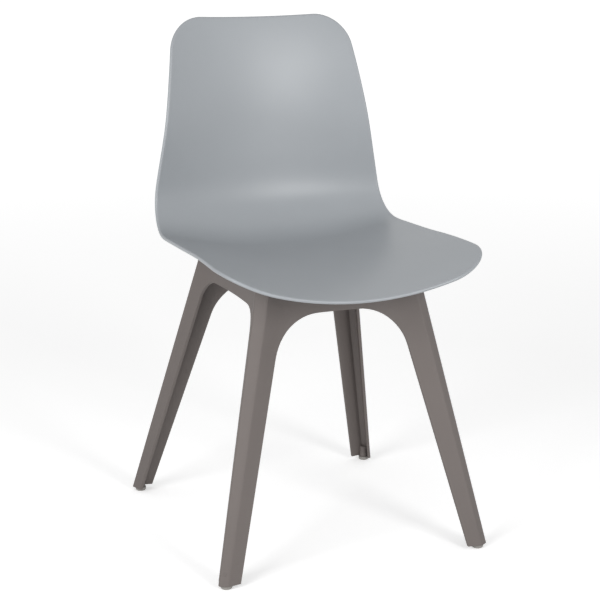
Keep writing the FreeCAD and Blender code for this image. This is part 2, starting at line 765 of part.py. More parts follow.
def makeWasher(label, x, y):
    body = makeBody(label)
    under = level("deck") - size("deck_wall") - size("washer_thickness")
    body.Placement = FreeCAD.Placement(V(x, y, under), FreeCAD.Rotation())
    bore = (size("screw_diameter") + size("screw_clearance")) / 2
    radius = size("washer_diameter") / 2
    top = size("washer_thickness")
    turned(body, label + "_turning", polyline([(bore, 0), (radius, 0), (radius, top), (bore, top)]))
    return body


def makeScrew(label, x, y):
    """Pan-head machine screw with a hexagon socket, driven from below."""
    body = makeBody(label)
    seat = level("deck") - size("deck_wall") - size("washer_thickness")
    body.Placement = FreeCAD.Placement(V(x, y, seat), FreeCAD.Rotation())
    shank = size("screw_diameter") / 2
    head = size("screw_head_diameter") / 2
    height = size("screw_head_height")
    length = size("screw_length")
    bevel = size("screw_head_bevel")
    tip = size("tip_bevel")
    turned(body, label + "_turning", polyline([
        (0, -height), (head - bevel, -height), (head, bevel - height), (head, 0), (shank, 0),
        (shank, length - tip), (shank - tip, length), (0, length)]))
    socket = makeSketch(body, label + "_socket_outline", "XY_Plane", atHeight(-height))
    across = size("drive_width") / math.sqrt(3)
    corners = [(across * math.cos(math.radians(60 * step)), across * math.sin(math.radians(60 * step)))
               for step in range(6)]
    addEdges(socket, polyline(corners))
    pocket(body, label + "_socket", socket, "sizes.drive_depth", reversed_=True)
    return body


# Check and export

def checkAndExport(parts):
    for item in doc.Objects:
        if "Invalid" in item.State or "Error" in item.State:
            raise RuntimeError(f"{item.Label} does not compute: {item.State}")
    os.makedirs("parts", exist_ok=True)
    for part in parts:
        if part.Shape.isNull() or not part.Shape.isValid() or len(part.Shape.Solids) != 1:
            raise RuntimeError(f"{part.Label} is not one valid solid")
    for part in parts:
        part.Shape.exportStep(f"parts/{part.Label}.step")
        box = part.Shape.BoundBox
        print(part.Label, round(part.Shape.Volume), round(box.ZMin, 2), round(box.ZMax, 2))


def main():
    parts = [makeShell(), makeFrame()]
    for place, (x, y) in glidePlaces():
        parts.append(makeGlide(f"glide_{place}", x, y))
    for place, (x, y) in screwPlaces():
        parts.append(makeInsert(f"insert_{place}", x, y))
        parts.append(makeWasher(f"washer_{place}", x, y))
        parts.append(makeScrew(f"screw_{place}", x, y))
    doc.recompute()
    checkAndExport(parts)


main()
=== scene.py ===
import math

import bpy
import bmesh
import numpy as np
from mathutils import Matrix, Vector


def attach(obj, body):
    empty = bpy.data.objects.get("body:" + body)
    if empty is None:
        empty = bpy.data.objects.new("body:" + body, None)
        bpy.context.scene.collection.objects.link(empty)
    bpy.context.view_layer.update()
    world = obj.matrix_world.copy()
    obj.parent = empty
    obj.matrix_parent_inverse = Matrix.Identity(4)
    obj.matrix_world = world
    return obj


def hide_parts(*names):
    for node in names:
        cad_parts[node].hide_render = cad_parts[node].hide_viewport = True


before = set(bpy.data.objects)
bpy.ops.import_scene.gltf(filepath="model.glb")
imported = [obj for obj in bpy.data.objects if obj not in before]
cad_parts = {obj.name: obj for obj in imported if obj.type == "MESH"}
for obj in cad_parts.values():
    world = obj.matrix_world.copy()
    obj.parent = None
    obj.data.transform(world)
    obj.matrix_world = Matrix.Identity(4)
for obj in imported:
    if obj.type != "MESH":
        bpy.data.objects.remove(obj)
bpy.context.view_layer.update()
print("frame loaded")


# Small tools for meshes

def linearColour(hexText):
    # sRGB hex to linear rgba
    values = np.array([int(hexText[i:i + 2], 16) for i in (1, 3, 5)]) / 255
    linear = np.where(values <= 0.04045, values / 12.92, ((values + 0.055) / 1.055) ** 2.4)
    return (*linear.tolist(), 1.0)


def smoothed(values, width):
    # running mean of the given odd width, twice, with the ends held
    for turn in range(2):
        padded = np.pad(values, width // 2, mode="edge")
        values = np.convolve(padded, np.ones(width) / width, mode="valid")
    return values


def gridFaces(indices):
    # quads between neighbouring rows and columns of an index grid
    a = indices[:-1, :-1].ravel()
    b = indices[1:, :-1].ravel()
    c = indices[1:, 1:].ravel()
    d = indices[:-1, 1:].ravel()
    return np.stack([a, b, c, d], axis=1)


def joinGrids(grids, points, faces):
    # puts the points and the quads of each grid at the end of the two lists
    count = sum(len(part) for part in points)
    for grid in grids:
        rows, columns = grid.shape[:2]
        points.append(grid.reshape(-1, 3))
        faces.append(gridFaces(np.arange(count, count + rows * columns).reshape(rows, columns)))
        count += rows * columns


def turnedPost(x, y, profile, sides):
    # upright round post: each ring of the profile has a radius and a height, and stands at
    # x + radius x cos(turn), y + radius x sin(turn)
    turn = np.linspace(0, 2 * math.pi, sides + 1)
    rings = [[x + radius * np.cos(turn), y + radius * np.sin(turn), height + 0 * turn]
             for radius, height in profile]
    return np.stack([np.stack(ring, axis=1) for ring in rings])


def addPiece(name, points, faces, merge):
    # mesh from arrays; doubles are merged and the faces turned outwards
    mesh = bpy.data.meshes.new(name)
    mesh.from_pydata(np.asarray(points).tolist(), [], np.asarray(faces).tolist())
    work = bmesh.new()
    work.from_mesh(mesh)
    bmesh.ops.remove_doubles(work, verts=work.verts, dist=merge)
    bmesh.ops.dissolve_degenerate(work, edges=work.edges, dist=merge)
    bmesh.ops.recalc_face_normals(work, faces=work.faces)
    work.to_mesh(mesh)
    work.free()
    mesh.shade_smooth()
    piece = bpy.data.objects.new(name, mesh)
    bpy.context.collection.objects.link(piece)
    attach(piece, "root")
    return piece


def bevelEdges(piece, width, angle=40, segments=3):
    # rounds the edges that turn by more than the angle, in degrees
    bevel = piece.modifiers.new("edgeRounding", "BEVEL")
    bevel.width = width
    bevel.segments = segments
    bevel.limit_method = "ANGLE"
    bevel.angle_limit = math.radians(angle)
    bevel.harden_normals = True
    return piece


# Seat and back shell: one moulding with an even wall, seat and back in one sweep

shell = {
    "wall": 0.0055,
    "frontEdge": -0.2512,
    "seatHeight": 0.455,
    "flatStart": -0.0351,
    "frontFall": math.radians(9.3),
    "backLine": 0.191,
    "bend": 0.0912,
    "lumbar": 0.647,
    "lean": math.radians(16.6),
    "top": 0.8241,
    "topDip": 0.0024,
    "topCorner": 0.060,
    "frontCorner": 0.075,
    # at the front edge, both ends of the flat, the end of the bend, the lumbar and the top
    "halfWidths": [0.2206, 0.2110, 0.2093, 0.1988, 0.1807, 0.1518],
    "dishes": [0.049, 0.0326, 0.0286, 0.0342, 0.0383, 0.0134],
    # spacing of the middle line's points, how far it runs past its ends, and how many of
    # its points each mean takes in
    "step": 0.001,
    "overrun": 0.03,
    "softening": 41,
    # mesh: rows along the sides, columns across, the inner grid's share of the width and its
    # distance from both ends, places of the rings between it and the rim, steps round the rim
    "rows": 130,
    "columns": 56,
    "innerShare": 0.70,
    "innerStart": 0.06,
    "innerEnd": 0.045,
    "ringPlaces": (0.06, 0.14, 0.24, 0.36, 0.5, 0.66, 0.83),
    "rimSteps": 5,
    # bosses under the seat, which stand on the deck of the leg frame
    "bossPlaces": [(-0.092, -0.095), (0.092, -0.095), (-0.092, 0.083), (0.092, 0.083)],
    "bossRadius": 0.012,
    "bossFoot": 0.436,
    "bossEdge": 0.0008,
    "bossOverlap": 0.001,
    "bossSides": 48,
}


def makeMiddleLine():
    # The middle line's heading eases from frontFall to level along an arc, stays level, turns
    # upright round the bend and then leans back; softened, it is summed up into y and z.
    step, over = shell["step"], shell["overrun"]
    fall, lean, upward = shell["frontFall"], shell["lean"], math.pi / 2
    falling = (shell["flatStart"] - shell["frontEdge"]) / math.sin(fall) * fall
    flat = shell["backLine"] - shell["bend"] - shell["flatStart"]
    turning = shell["bend"] * upward
    upright = shell["lumbar"] - shell["seatHeight"] - shell["bend"]
    leaning = (shell["top"] - shell["lumbar"]) / math.sin(lean) * lean
    marks = np.cumsum([0, falling, flat, turning, upright, leaning])
    travel = np.arange(-over, marks[-1] + over, step)
    places = [-over, *marks, marks[-1] + over]
    headings = [fall + fall * over / falling, fall, 0, 0, upward, upward,
                upward - lean, upward - lean - lean * over / leaning]
    heading = smoothed(np.interp(travel, places, headings), shell["softening"])
    between = (heading[1:] + heading[:-1]) / 2
    y = np.concatenate([[0], np.cumsum(np.cos(between) * step)])
    z = np.concatenate([[0], np.cumsum(np.sin(between) * step)])
    flatMiddle = (marks[1] + marks[2]) / 2
    middle = np.argmin(np.abs(travel - flatMiddle))
    y += flatMiddle - marks[1] + shell["flatStart"] - y[middle]
    z += shell["seatHeight"] - z[middle]
    width = smoothed(np.interp(travel, marks, shell["halfWidths"]), shell["softening"])
    dish = smoothed(np.interp(travel, marks, shell["dishes"]), shell["softening"])
    return {"travel": travel, "y": y, "z": z, "heading": heading,
            "width": width, "dish": dish, "marks": marks}


line = makeMiddleLine()


def along(name, travel):
    # value of the middle line at a distance along it
    return np.interp(travel, line["travel"], line[name])


def dishRadius(travel):
    # radius of the arc that is 2 x width wide and dish deep: (width^2 + dish^2) / (2 x dish)
    width = along("width", travel)
    dish = along("dish", travel)
    return (width ** 2 + dish ** 2) / (2 * dish)


def arcAcross(travel, x):
    # length of the arc from the middle out to x: radius x arcsin(x / radius)
    radius = dishRadius(travel)
    return radius * np.arcsin(x / radius)


def rimAcross(travel):
    # the same out to the rim
    return arcAcross(travel, along("width", travel))


def sagAt(travel, x):
    # rise of the arc over its middle at x: radius - sqrt(radius^2 - x^2)
    radius = dishRadius(travel)
    return radius - np.sqrt(radius ** 2 - x ** 2)


def shellPoint(travel, across):
    # the arc stands square to the middle line: x = radius x sin(across / radius), and its rise,
    # radius x (1 - cos(across / radius)), goes off along the line's normal
    radius = dishRadius(travel)
    sag = radius * (1 - np.cos(across / radius))
    heading = along("heading", travel)
    return np.stack([radius * np.sin(across / radius),
                     along("y", travel) - np.sin(heading) * sag,
                     along("z", travel) + np.cos(heading) * sag], axis=-1)


def shellNormal(travel, across):
    # cross product of the two directions, towards the sitter
    small = 0.0005
    sideways = shellPoint(travel, across + small) - shellPoint(travel, across - small)
    onward = shellPoint(travel + small, across) - shellPoint(travel - small, across)
    normal = np.cross(sideways, onward)
    return normal / np.linalg.norm(normal, axis=-1, keepdims=True)


def travelAtHeight(x, z):
    # distance along the middle line of the back's point with that x and z: each turn takes the
    # rise at the last distance off the height
    travel = np.interp(z, line["z"], line["travel"])
    for turn in range(12):
        rise = np.cos(along("heading", travel)) * sagAt(travel, x)
        travel = np.interp(z - rise, line["z"], line["travel"])
    return travel


def travelAtDepth(x, y):
    # the same for the seat's point with that x and y
    seat = line["travel"] < (line["marks"][2] + line["marks"][3]) / 2
    travel = np.interp(y, line["y"][seat], line["travel"][seat])
    for turn in range(12):
        shift = np.sin(along("heading", travel)) * sagAt(travel, x)
        travel = np.interp(y + shift, line["y"][seat], line["travel"][seat])
    return travel


def shellUnderside(x, y):
    # height of the shell's lower face over a point of the plan: each turn moves travel and
    # across by most of what is still missing in y and x
    seatPoints, share = 380, 0.8
    travel = np.interp(y, line["y"][:seatPoints], line["travel"][:seatPoints])
    across = x.copy()
    for turn in range(25):
        place = shellPoint(travel, across) - shellNormal(travel, across) * shell["wall"]
        travel = travel + share * (y - place[..., 1])
        across = across + share * (x - place[..., 0])
    return place[..., 2]


def cornerCurve(rimAt, edge, radius, onward, count):
    # arc that leaves the straight edge and meets the leaning rim without a kink: it ends where
    # its own slope is the rim's, at angle = arctan(slope)
    reach = 0.01
    ahead = rimAt(edge + onward * (radius + reach))
    behind = rimAt(edge + onward * (radius - reach))
    angle = math.atan((ahead - behind) / (2 * reach))
    centre = edge + onward * radius
    centreX = rimAt(centre - onward * radius * math.sin(angle)) - radius * math.cos(angle)
    turn = np.linspace(math.pi / 2, angle, count)
    return centreX + radius * np.cos(turn), centre - onward * radius * np.sin(turn)


def resampled(points, count):
    # the same open path with evenly spread points
    lengths = np.concatenate([[0], np.cumsum(np.linalg.norm(np.diff(points, axis=0), axis=1))])
    wanted = np.linspace(0, lengths[-1], count)
    return np.stack([np.interp(wanted, lengths, points[:, k]) for k in (0, 1)], axis=1)


def shellOutline():
    # outline in travel and across, as front, right side (+X), top and left side; the four
    # parts meet in the middle of the rounded corners
    cornerPoints, edgePoints, sidePoints, rimPoints = 40, 40, 400, 900
    frontPoints, backPoints = 300, 240
    beyond = 0.02  # the rim is read a little past both ends of the line
    rimTravel = np.linspace(-beyond, line["marks"][-1] + beyond, rimPoints)
    rim = shellPoint(rimTravel, rimAcross(rimTravel))
    front, back = rim[:frontPoints], rim[-backPoints:]

    def frontRim(y):
        # rim's x at a depth
        return float(np.interp(y, front[:, 1], front[:, 0]))

    def backRim(z):
        # rim's x at a height
        return float(np.interp(z, back[:, 2], back[:, 0]))

    def flat(travel, x):
        # pairs of travel and across
        return np.stack([travel, arcAcross(travel, x)], axis=1)

    edge = shell["frontEdge"]
    frontX, frontY = cornerCurve(frontRim, edge, shell["frontCorner"], 1, cornerPoints)
    topX, topZ = cornerCurve(backRim, shell["top"], shell["topCorner"], -1, cornerPoints)
    frontCorner = flat(travelAtDepth(frontX, frontY), frontX)
    topCorner = flat(travelAtHeight(topX, topZ), topX)
    sideTravel = np.linspace(frontCorner[-1, 0], topCorner[-1, 0], sidePoints)[1:-1]
    side = np.stack([sideTravel, rimAcross(sideTravel)], axis=1)
    straightX = np.linspace(0, frontX[0], edgePoints)[:-1]
    straight = flat(travelAtDepth(straightX, np.full_like(straightX, edge)), straightX)
    dippedX = np.linspace(topX[0], 0, edgePoints)[1:]
    dippedZ = shell["top"] - shell["topDip"] * (1 - (dippedX / topX[0]) ** 2)
    dipped = flat(travelAtHeight(dippedX, dippedZ), dippedX)

    half = cornerPoints // 2
    mirror = np.array([1, -1])
    rightFront = np.concatenate([straight, frontCorner[:half]])
    right = np.concatenate([frontCorner[half - 1:], side, topCorner[half - 1:][::-1]])
    rightTop = np.concatenate([topCorner[:half][::-1], dipped])
    wholeFront = np.concatenate([(rightFront * mirror)[::-1], rightFront[1:]])
    wholeTop = np.concatenate([rightTop, (rightTop * mirror)[::-1][1:]])
    frontPart = resampled(wholeFront, shell["columns"] + 1)
    rightPart = resampled(right, shell["rows"] + 1)
    topPart = resampled(wholeTop, shell["columns"] + 1)
    leftPart = (rightPart * mirror)[::-1]
    return np.concatenate([frontPart[:-1], rightPart[:-1], topPart[:-1], leftPart[:-1]])


def borderOf(grid):
    # a grid's outermost points, in the order of the outline
    return np.concatenate([grid[0, :-1], grid[:-1, -1], grid[-1, :0:-1], grid[:0:-1, 0]])


def seatBosses():
    # posts from the deck up into the seat's wall, each with a broken edge at its foot
    radius, foot, edge = shell["bossRadius"], shell["bossFoot"], shell["bossEdge"]
    turn = np.linspace(0, 2 * math.pi, shell["bossSides"] + 1)
    posts = []
    for x, y in shell["bossPlaces"]:
        top = shellUnderside(x + radius * np.cos(turn), y + radius * np.sin(turn))
        top = top + shell["bossOverlap"]
        profile = [(0.0, foot), (radius - edge, foot), (radius, foot + edge), (radius, top),
                   (0.0, top.max())]
        posts.append(turnedPost(x, y, profile, shell["bossSides"]))
    return posts


def makeShell():
    # An inner grid follows the travel and the width, and rings of quads lead from it to the
    # outline. The wall's two faces are the surface pushed along its normal, and they close in
    # a half round at the rim: half thickness = wall / 2 x sqrt(1 - (1 - distance / (wall / 2))^2).
    half = shell["wall"] / 2
    outline = shellOutline()
    innerEnd = line["marks"][-1] - shell["innerEnd"]
    travel = np.linspace(shell["innerStart"], innerEnd, shell["rows"] + 1)
    share = shell["innerShare"] * np.linspace(-1, 1, shell["columns"] + 1)
    grid = np.stack([np.repeat(travel[:, None], len(share), axis=1),
                     rimAcross(travel)[:, None] * share[None, :]], axis=-1)
    border = borderOf(grid)
    gap = np.linalg.norm(outline - border, axis=1)[:, None]
    rounds = half * (1 - np.cos(np.linspace(0, math.pi / 2, shell["rimSteps"] + 1)))[1:]
    rings = [(outline + (border - outline) * (d / gap), d) for d in rounds]
    for place in shell["ringPlaces"]:
        past = np.maximum(place, half * 1.4 / gap)  # never inside the rim's round
        rings.append((outline + (border - outline) * past, half))
    points, faces, count = [], [], 0

    def push(flat, distance, side):
        # puts one ring of the wall's upper (1) or lower (-1) face in the list
        nonlocal count
        depth = half * math.sqrt(1 - (1 - distance / half) ** 2)
        place = shellPoint(flat[:, 0], flat[:, 1])
        normal = shellNormal(flat[:, 0], flat[:, 1])
        points.append(place - normal * (half - side * depth))
        indices = np.arange(count, count + len(flat))
        count += len(flat)
        return indices

    rim = push(outline, 0.0, 1)
    for side in (1, -1):
        loops = [rim] + [push(ring, distance, side) for ring, distance in rings]
        inside = push(grid.reshape(-1, 2), half, side).reshape(grid.shape[:2])
        skirt = np.stack(loops + [borderOf(inside)])
        faces.append(gridFaces(np.concatenate([skirt, skirt[:, :1]], axis=1)))
        faces.append(gridFaces(inside))
    joinGrids(seatBosses(), points, faces)
    points, faces = np.concatenate(points), np.concatenate(faces)
    return addPiece("seatAndBackShell", points, faces, merge=0.000001)


seatShell = makeShell()
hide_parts("seat_shell")
print("shell made", len(seatShell.data.polygons))


# Leg frame: one moulding with an even wall, V-shaped legs joined by bowed and arched aprons

legFrame = {
    "wall": 0.005,
    "footLevel": 0.006,
    "apronLevel": 0.430,
    # leg corners from the middle, at the apron level and at the foot
    "front": ((0.1402, 0.1481), (0.2290, 0.2212)),
    "rear": ((0.1420, 0.1282), (0.2304, 0.2474)),
    # the pairs from here to knuckleBack are at the apron level and at the foot too
    "face": (0.0530, 0.0362),
    "side": (0.0350, 0.0250),
    "spare": 0.005,
    "setBack": (0.011, 0.001),
    "sideSetBack": (0.014, 0.011),
    "creaseIn": (0.018, 0.013),
    "creaseOut": (0.0085, 0.004),
    "knuckleIn": 0.001,
    "knuckleBack": (0.003, 0.004),
    "bow": 0.006,
    # crown height and shoulder radius
    "frontArch": (0.3942, 0.080),
    "sideArch": (0.404, 0.046),
    # gap under the shell, and the height at which the search for the top starts
    "shellGap": 0.0004,
    "firstGuess": 0.45,
    "softening": 0.012,
    "outerRound": 0.0026,
    "innerRound": 0.0012,
    "edgeRadius": 0.0012,
    # mesh: rows up the leg to the knee and on to the top, steps round a shoulder and over the
    # crown, points round a corner, places of the columns between the arch and the outer edge
    "knee": 0.34,
    "legRows": 16,
    "shoulderRows": 6,
    "shoulderSteps": 12,
    "crownSteps": 10,
    "cornerPoints": 5,
    "across": [0, 0.16, 0.4, 0.7, 1.0],
}

# The four walls: the axis that each runs along, its side of the middle, and its four corners
# in the plan outline, which are a leg's edge, both ends of the bow and the other leg's edge
walls = [
    {"axis": 0, "side": -1, "corners": (14, 15, 0, 1)},
    {"axis": 0, "side": 1, "corners": (9, 8, 7, 6)},
    {"axis": 1, "side": 1, "corners": (2, 3, 4, 5)},
    {"axis": 1, "side": -1, "corners": (13, 12, 11, 10)},
]


def fading(z, pair):
    # straight blend from the second value at the foot to the first at the apron level
    share = (z - legFrame["footLevel"]) / (legFrame["apronLevel"] - legFrame["footLevel"])
    return pair[1] + share * (pair[0] - pair[1])


def frameCorners(z, inset=0.0):
    # sixteen corners of the plan outline at each height, anticlockwise from the front leg at
    # +X; an inset moves each along the sum of its two sides' normals x 2 x inset / the sum's
    # length squared
    corners = []
    spare = legFrame["spare"]
    for sideX, sideY in ((1, -1), (1, 1), (-1, 1), (-1, -1)):
        (topX, topY), (footX, footY) = legFrame["front" if sideY < 0 else "rear"]
        x = fading(z, (topX, footX))
        y = fading(z, (topY, footY))
        leg = [(fading(z, legFrame["face"]) + spare, fading(z, legFrame["setBack"])),
               (fading(z, legFrame["creaseIn"]), -fading(z, legFrame["creaseOut"])),
               (legFrame["knuckleIn"] + 0 * z, fading(z, legFrame["knuckleBack"])),
               (fading(z, legFrame["sideSetBack"]), fading(z, legFrame["side"]) + spare)]
        spots = [np.stack([sideX * (x - inX), sideY * (y - inY)], axis=-1) for inX, inY in leg]
        corners += spots if sideX * sideY < 0 else spots[::-1]
    points = np.stack(corners, axis=-2)
    if inset == 0:
        return points
    first = points - np.roll(points, 1, axis=-2)
    second = np.roll(points, -1, axis=-2) - points
    first /= np.linalg.norm(first, axis=-1, keepdims=True)
    second /= np.linalg.norm(second, axis=-1, keepdims=True)
    both = np.stack([-first[..., 1] - second[..., 1], first[..., 0] + second[..., 0]], axis=-1)
    return points + both * (inset * 2 / np.sum(both ** 2, axis=-1, keepdims=True))


def unitWay(points, start, end):
    # direction from one corner of the outline to another
    way = points[..., end, :] - points[..., start, :]
    return way / np.linalg.norm(way, axis=-1, keepdims=True)


def roundedCorner(points, index, reach):
    # quadratic curve round one corner of the outline: corner + before x reach x (1 - t)^2
    # + after x reach x t^2
    here = points[..., index, :]
    before = unitWay(points, index, index - 1)
    after = unitWay(points, index, (index + 1) % 16)
    curve = [here + before * reach * (1 - t) ** 2 + after * reach * t ** 2
             for t in np.linspace(0, 1, legFrame["cornerPoints"])]
    return np.stack(curve, axis=-2)


def plainWall(q, z, wall, inset):
    # cross coordinate of a wall at q along its axis: straight next to the legs' edges, and
    # between them bowed inwards by bow x (1 - place^2)
    axis, (outerStart, bowStart, bowEnd, outerEnd) = wall["axis"], wall["corners"]
    points = frameCorners(z, inset)
    other = 1 - axis

    def straight(i, j):
        # straight blend between two corners: p + share x (r - p)
        p, r = points[..., i, :], points[..., j, :]
        share = (q - p[..., axis]) / (r[..., axis] - p[..., axis])
        return p[..., other] + share * (r[..., other] - p[..., other])

    start, end = points[..., bowStart, axis], points[..., bowEnd, axis]
    place = (q - (start + end) / 2) / ((end - start) / 2)
    inward = -np.sign(points[..., bowStart, other])
    bowed = straight(bowStart, bowEnd) + inward * legFrame["bow"] * (1 - place ** 2)
    beyond = np.where(q > end, straight(bowEnd, outerEnd), bowed)
    return np.where(q < start, straight(outerStart, bowStart), beyond)


def wallAt(q, z, wall, inset):
    # the wall's mean over a short stretch, which softens the bend where the bow starts
    points = frameCorners(z, inset)
    axis, corners = wall["axis"], wall["corners"]
    nearest = np.minimum(q - points[..., corners[0], axis], points[..., corners[3], axis] - q)
    reach = np.clip(nearest * 0.5, 0, legFrame["softening"])
    steps = (-1, -0.5, 0, 0.5, 1)
    return sum(plainWall(q + reach * step, z, wall, inset) for step in steps) / len(steps)


def wallPoint(q, z, wall, inset):
    # point of a wall from its place along the axis and its height
    cross = wallAt(q, z, wall, inset)
    return np.stack([q, cross, z] if wall["axis"] == 0 else [cross, q, z], axis=-1)


def climbed(planAt, shape):
    # height at which a leaning line of the frame meets the gap under the shell: each turn
    # looks up the underside over the line's plan point at the last height
    z = np.full(shape, legFrame["firstGuess"])
    for turn in range(6):
        plan = planAt(z)
        z = shellUnderside(plan[..., 0], plan[..., 1]) - legFrame["shellGap"]
    return z


def archPath(feet, tops, crown, radius):
    # opening's edge from one foot over the crown to the other: straight up the leg to where
    # the shoulder's arc touches it, round the arc, and level over the crown
    low, high = legFrame["footLevel"], legFrame["apronLevel"]
    centreZ = crown - radius
    halves = []
    for sign, foot, top in ((-1, feet[0], tops[0]), (1, feet[1], tops[1])):
        slope = (top - foot) / (high - low)
        lean = math.sqrt(1 + slope ** 2)
        centreQ = foot + slope * (centreZ - low) - sign * radius * lean
        startAngle = math.atan2(-sign * slope * radius / lean, radius / lean)
        z = np.linspace(low, centreZ + radius * math.sin(startAngle), legFrame["legRows"] + 1)
        leg = np.stack([foot + slope * (z - low), z], axis=1)
        turn = np.linspace(startAngle, math.pi / 2, legFrame["shoulderSteps"] + 1)[1:]
        bend = np.stack([centreQ + sign * radius * np.cos(turn), centreZ + radius * np.sin(turn)],
                        axis=1)
        halves.append(np.concatenate([leg, bend]))
    between = np.linspace(halves[0][-1], halves[1][-1], legFrame["crownSteps"] + 1)[1:-1]
    return np.concatenate([halves[0], between, halves[1][::-1]])


def columnHeights(top):
    # heights of the rows on each column: even up the leg to the knee, then even on to the top
    knee = legFrame["knee"]
    leg = np.linspace(legFrame["footLevel"], knee, legFrame["legRows"] + 1)[:, None]
    leg = leg + 0 * top[None, :]
    rest = np.linspace(0, 1, legFrame["shoulderRows"] + 1)[1:, None]
    return np.concatenate([leg, knee + (top[None, :] - knee) * rest])


def sheetGrid(wall, arch, inset, rounding):
    # rows run round the arch, columns from the arch's edge out to the legs' edges and the top:
    # point = arch x (1 - share) + outer edge x share, laid on the wall
    axis, (outerStart, bowStart, bowEnd, outerEnd) = wall["axis"], wall["corners"]
    ends = []
    for corner, beside in ((outerStart, bowStart), (outerEnd, bowEnd)):
        def edgeAt(z, corner=corner, beside=beside):
            # plan point of the leg's edge, short of the corner's round
            points = frameCorners(z, inset)
            return points[..., corner, :] + unitWay(points, corner, beside) * rounding
        heights = columnHeights(climbed(edgeAt, (1,)))[:, 0]
        ends.append(np.stack([edgeAt(heights)[:, axis], heights], axis=1))
    missing = len(arch) - 2 * len(ends[0])
    topQ = np.linspace(ends[0][-1, 0], ends[1][-1, 0], missing + 2)[1:-1]
    topZ = climbed(lambda z: wallPoint(topQ, z, wall, inset)[..., :2], topQ.shape)
    outer = np.concatenate([ends[0], np.stack([topQ, topZ], axis=1), ends[1][::-1]])
    share = np.array(legFrame["across"])[None, :, None]
    flat = arch[:, None, :] * (1 - share) + outer[:, None, :] * share
    return wallPoint(flat[..., 0], flat[..., 1], wall, inset)


def cornerGrid(index, inset, rounding):
    # strip round a leg between its crease and its knuckle; rows run up, columns go round
    def columnsAt(z):
        # plan points round both corners, with one halfway between them
        points = frameCorners(z, inset)
        first = roundedCorner(points, index, rounding)
        second = roundedCorner(points, (index + 1) % 16, rounding)
        middle = (first[..., -1:, :] + second[..., :1, :]) / 2
        return np.concatenate([first, middle, second], axis=-2)

    columns = range(2 * legFrame["cornerPoints"] + 1)
    top = np.array([climbed(lambda z, k=k: columnsAt(z)[..., k, :], (1,))[0] for k in columns])
    heights = columnHeights(top)
    strips = [np.concatenate([columnsAt(heights[:, k])[:, k, :], heights[:, k:k + 1]], axis=-1)
              for k in columns]
    return np.stack(strips, axis=1)


def frameWalls():
    # outer and inner face of each wall and each leg corner, joined by strips along the arch's
    # edge, under the feet and along the top
    (frontTop, frontFoot), (rearTop, rearFoot) = legFrame["front"], legFrame["rear"]
    openFoot = frontFoot[0] - legFrame["face"][1]
    openTop = frontTop[0] - legFrame["face"][0]
    sideFeet = (-frontFoot[1] + legFrame["side"][1], rearFoot[1] - legFrame["side"][1])
    sideTops = (-frontTop[1] + legFrame["side"][0], rearTop[1] - legFrame["side"][0])
    arches = (archPath((-openFoot, openFoot), (-openTop, openTop), *legFrame["frontArch"]),
              archPath(sideFeet, sideTops, *legFrame["sideArch"]))
    up = legFrame["legRows"] + legFrame["shoulderRows"]
    grids = []
    for wall in walls:
        arch = arches[wall["axis"]]
        outer = sheetGrid(wall, arch, 0.0, legFrame["outerRound"])
        inner = sheetGrid(wall, arch, legFrame["wall"], legFrame["innerRound"])
        top = slice(up, len(outer) - up)
        grids += [outer, inner, np.stack([outer[:, 0], inner[:, 0]]),
                  np.stack([outer[0], inner[0]]), np.stack([outer[-1], inner[-1]]),
                  np.stack([outer[top, -1], inner[top, -1]])]
    for index in (1, 5, 9, 13):
        outer = cornerGrid(index, 0.0, legFrame["outerRound"])
        inner = cornerGrid(index, legFrame["wall"], legFrame["innerRound"])
        grids += [outer, inner, np.stack([outer[0], inner[0]]), np.stack([outer[-1], inner[-1]])]
    return grids


# Deck in the top of the leg frame, which carries the shell, and the bosses in its feet

deck = {
    "top": 0.436,
    "wall": 0.005,
    "lip": 0.014,
    "ribWall": 0.0035,
    "ribPlace": 0.034,
    "opening": (0.062, 0.058),
    "openingRadius": 0.024,
    # how far the plate bites into the walls, and the ribs into what they join
    "bite": 0.0012,
    "overlap": 0.001,
    "sidePoints": 24,
    "openingPoints": 96,
    "bossRadius": 0.0075,
    "bossTop": 0.026,
    "bossBevel": 0.0012,
    "bossSides": 32,
    "glides": [(0.2135, -0.2132), (-0.2135, -0.2132), (0.2149, 0.2394), (-0.2149, 0.2394)],
}


def roundedRectangle(halfX, halfY, radius, count):
    # four quarter arcs of the given radius about the corners' centres
    quarter = np.linspace(0, math.pi / 2, count // 4)
    parts = []
    for step, (sideX, sideY) in enumerate(((1, 1), (-1, 1), (-1, -1), (1, -1))):
        turn = quarter + step * math.pi / 2
        parts.append(np.stack([sideX * (halfX - radius) + radius * np.cos(turn),
                               sideY * (halfY - radius) + radius * np.sin(turn)], axis=1))
    return np.concatenate(parts)


def atAngles(path, angles):
    # points of a closed path round the middle at the given angles
    turn = np.arctan2(path[:, 1], path[:, 0])
    order = np.argsort(turn)
    turn, path = turn[order], path[order]
    turn = np.concatenate([turn[-1:] - 2 * math.pi, turn, turn[:1] + 2 * math.pi])
    path = np.concatenate([path[-1:], path, path[:1]])
    wrapped = (angles + math.pi) % (2 * math.pi) - math.pi
    return np.stack([np.interp(wrapped, turn, path[:, k]) for k in (0, 1)], axis=1)


